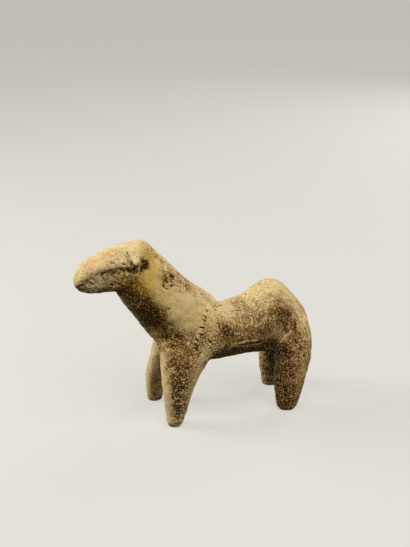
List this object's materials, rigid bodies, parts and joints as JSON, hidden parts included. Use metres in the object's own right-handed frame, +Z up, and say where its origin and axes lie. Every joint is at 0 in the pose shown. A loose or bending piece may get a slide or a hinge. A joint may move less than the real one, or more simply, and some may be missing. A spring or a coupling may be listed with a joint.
{
  "type": "horse statuette",
  "caption": "Hand-modelled fired clay horse with a wedge head, thick leaning neck with a mane strip, pressed shoulder marks, short tapering legs and a tail ridge.",
  "frame": {"origin": "on the ground under the middle of the figure's bounding box", "axes": "+Z up, -X towards the horse's nose, -Y towards its left side"},
  "size_m": [0.1056, 0.0356, 0.0792],
  "materials": {
    "fired_clay": "matt, sandy, unglazed"
  },
  "bodies": {
    "root": {"horse": "fired_clay"}
  },
  "joints": []
}
